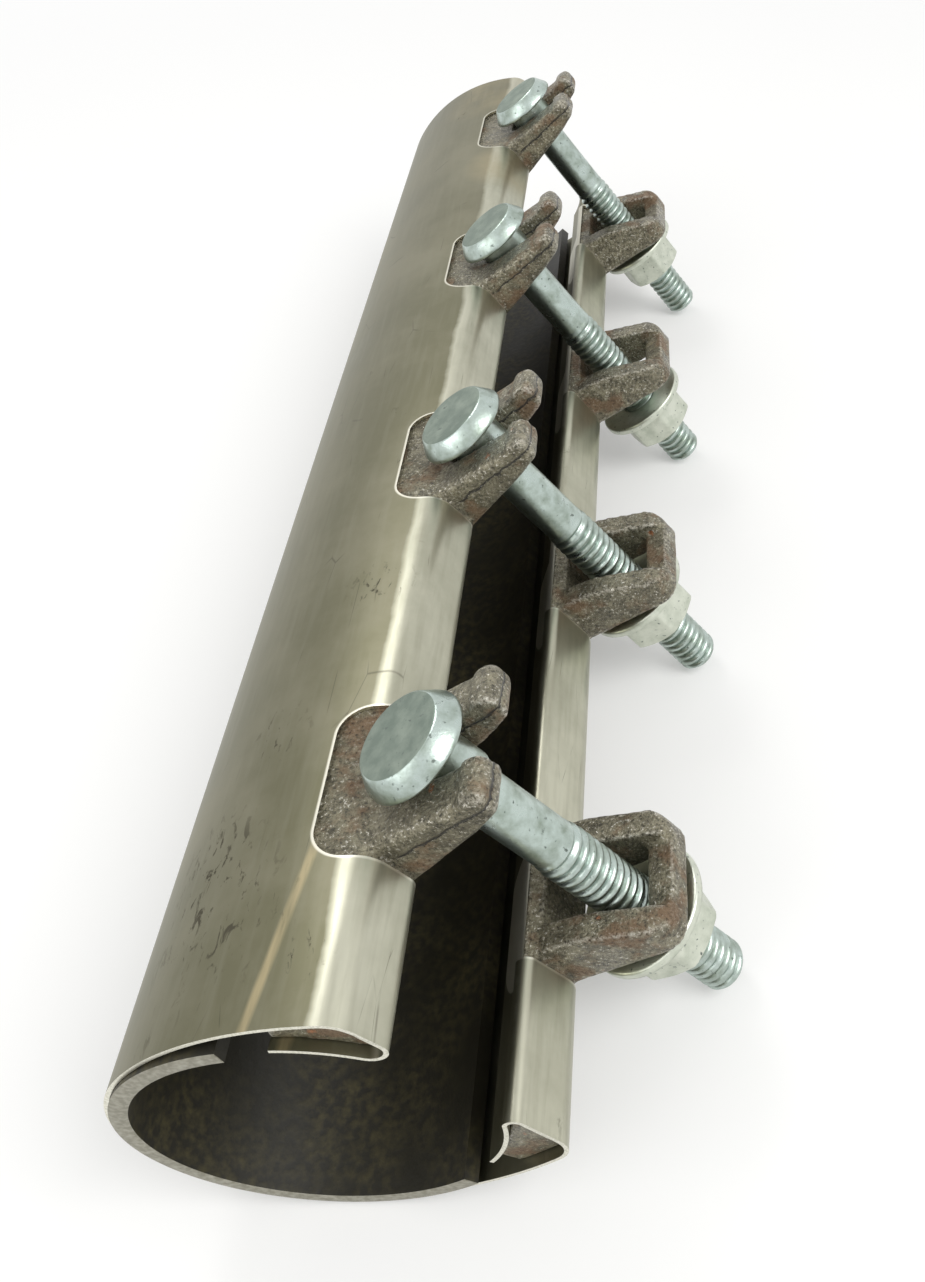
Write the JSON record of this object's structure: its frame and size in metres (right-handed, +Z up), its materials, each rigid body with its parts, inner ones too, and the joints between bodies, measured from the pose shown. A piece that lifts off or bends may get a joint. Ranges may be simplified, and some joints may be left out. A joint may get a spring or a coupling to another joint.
{
  "type": "pipe repair clamp",
  "caption": "Full-circle pipe repair clamp, lying open: a long folded sheet band with a rubber gasket, and cast finger and loop bars drawn together across the gap by bolts and nuts.",
  "frame": {"origin": "on the pipe's axis, at the middle of the band's length", "axes": "+Y along the pipe's axis to the far end, +Z up as the open clamp lies on its band and on the tip of its third bolt, +X towards the bolts"},
  "size_m": [0.1584, 0.508, 0.1318],
  "materials": {
    "band_sheet": "satin stainless sheet, scuffed",
    "gasket_rubber": "matte black rubber",
    "cast_bar": "dark sand cast, patches of rust",
    "bolt_zinc": "dull zinc plate",
    "nut_zinc": "pale zinc plate"
  },
  "bodies": {
    "clamp": {"band_shell": "band_sheet", "gasket": "gasket_rubber", "finger_bar": "cast_bar", "loop_bar": "cast_bar"},
    "bolt_1_body": {"bolt_1": "bolt_zinc"},
    "washer_1_body": {"washer_1": "nut_zinc"},
    "nut_1_body": {"nut_1": "nut_zinc"},
    "bolt_2_body": {"bolt_2": "bolt_zinc"},
    "washer_2_body": {"washer_2": "nut_zinc"},
    "nut_2_body": {"nut_2": "nut_zinc"},
    "bolt_3_body": {"bolt_3": "bolt_zinc"},
    "washer_3_body": {"washer_3": "nut_zinc"},
    "nut_3_body": {"nut_3": "nut_zinc"},
    "bolt_4_body": {"bolt_4": "bolt_zinc"},
    "washer_4_body": {"washer_4": "nut_zinc"},
    "nut_4_body": {"nut_4": "nut_zinc"}
  },
  "joints": [
    {"name": "bolt_1_swing", "type": "hinge", "parent": "clamp", "child": "bolt_1_body", "pos_m": [0.07156, -0.1905, 0.00181], "axis": [0, 1, 0], "range_deg": [0, 35]},
    {"name": "washer_1_slide", "type": "slide", "parent": "bolt_1_body", "child": "washer_1_body", "axis": [0.5513, 0, -0.8343], "range_m": [0, 0.02632]},
    {"name": "nut_1_spin", "type": "hinge", "parent": "washer_1_body", "child": "nut_1_body", "pos_m": [0.07744, -0.1905, -0.00708], "axis": [0.5513, 0, -0.8343], "range_deg": [0, 2984.3]},
    {"name": "bolt_2_swing", "type": "hinge", "parent": "clamp", "child": "bolt_2_body", "pos_m": [0.07141, -0.0635, -0.00378], "axis": [0, 1, 0], "range_deg": [0, 35]},
    {"name": "washer_2_slide", "type": "slide", "parent": "bolt_2_body", "child": "washer_2_body", "axis": [0.5513, 0, -0.8343], "range_m": [0, 0.02632]},
    {"name": "nut_2_spin", "type": "hinge", "parent": "washer_2_body", "child": "nut_2_body", "pos_m": [0.07427, -0.0635, -0.0081], "axis": [0.5513, 0, -0.8343], "range_deg": [0, 2984.3]},
    {"name": "bolt_3_swing", "type": "hinge", "parent": "clamp", "child": "bolt_3_body", "pos_m": [0.07133, 0.0635, -0.00709], "axis": [0, 1, 0], "range_deg": [0, 35]},
    {"name": "washer_3_slide", "type": "slide", "parent": "bolt_3_body", "child": "washer_3_body", "axis": [0.5513, 0, -0.8343], "range_m": [0, 0.01653]},
    {"name": "nut_3_spin", "type": "hinge", "parent": "washer_3_body", "child": "nut_3_body", "pos_m": [0.07676, 0.0635, -0.01532], "axis": [0.5513, 0, -0.8343], "range_deg": [0, 1873.9]},
    {"name": "bolt_4_swing", "type": "hinge", "parent": "clamp", "child": "bolt_4_body", "pos_m": [0.07144, 0.1905, -0.0029], "axis": [0, 1, 0], "range_deg": [0, 35]},
    {"name": "washer_4_slide", "type": "slide", "parent": "bolt_4_body", "child": "washer_4_body", "axis": [0.5513, 0, -0.8343], "range_m": [0, 0.02632]},
    {"name": "nut_4_spin", "type": "hinge", "parent": "washer_4_body", "child": "nut_4_body", "pos_m": [0.0748, 0.1905, -0.00799], "axis": [0.5513, 0, -0.8343], "range_deg": [0, 2984.3]}
  ],
  "couplings": [
    {"joint": "washer_1_slide", "follows": "bolt_1_swing", "m_per_rad": 0.043},
    {"joint": "nut_1_spin", "follows": "bolt_1_swing", "ratio": 85.095},
    {"joint": "washer_2_slide", "follows": "bolt_2_swing", "m_per_rad": 0.043},
    {"joint": "nut_2_spin", "follows": "bolt_2_swing", "ratio": 85.095},
    {"joint": "washer_3_slide", "follows": "bolt_3_swing", "m_per_rad": 0.027},
    {"joint": "nut_3_spin", "follows": "bolt_3_swing", "ratio": 53.432},
    {"joint": "washer_4_slide", "follows": "bolt_4_swing", "m_per_rad": 0.043},
    {"joint": "nut_4_spin", "follows": "bolt_4_swing", "ratio": 85.095}
  ]
}
